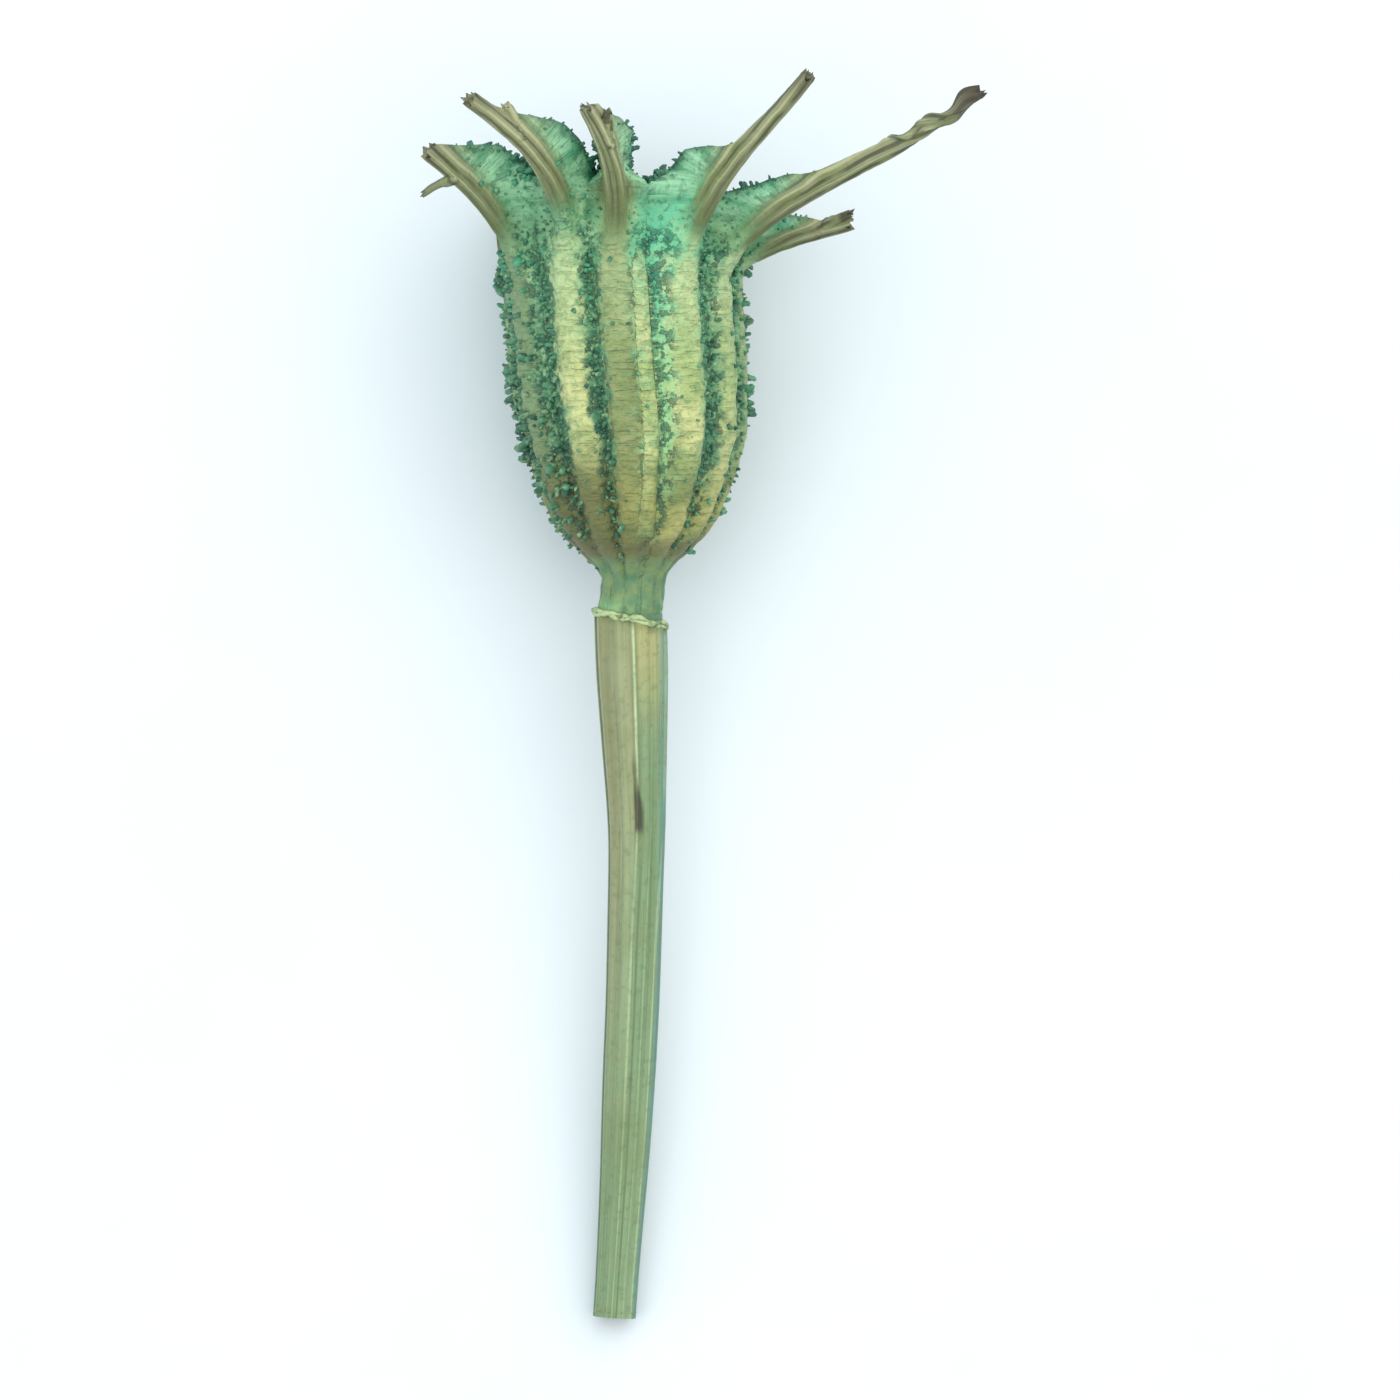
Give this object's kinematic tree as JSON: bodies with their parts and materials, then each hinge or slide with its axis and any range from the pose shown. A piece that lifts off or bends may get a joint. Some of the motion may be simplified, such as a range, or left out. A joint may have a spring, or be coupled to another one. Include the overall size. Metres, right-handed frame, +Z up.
{
  "type": "nigella seed pod",
  "caption": "Dried nigella seed pod with a ribbed, warty green barrel and spreading lipped horns, lying on its cut stem.",
  "frame": {"origin": "centre of the bounding box's bottom face, on the surface that the pod lies on", "axes": "+Z up, +Y along the pod from the stem's cut end towards the horns, +X to the right seen from above"},
  "size_m": [0.0266, 0.057, 0.0171],
  "materials": {
    "capsule": "matt dry plant skin, warty, dyed green",
    "stem": "dry straw-like stem with a dull sheen"
  },
  "bodies": {
    "root": {"capsule": "capsule", "stem": "stem"}
  },
  "joints": []
}
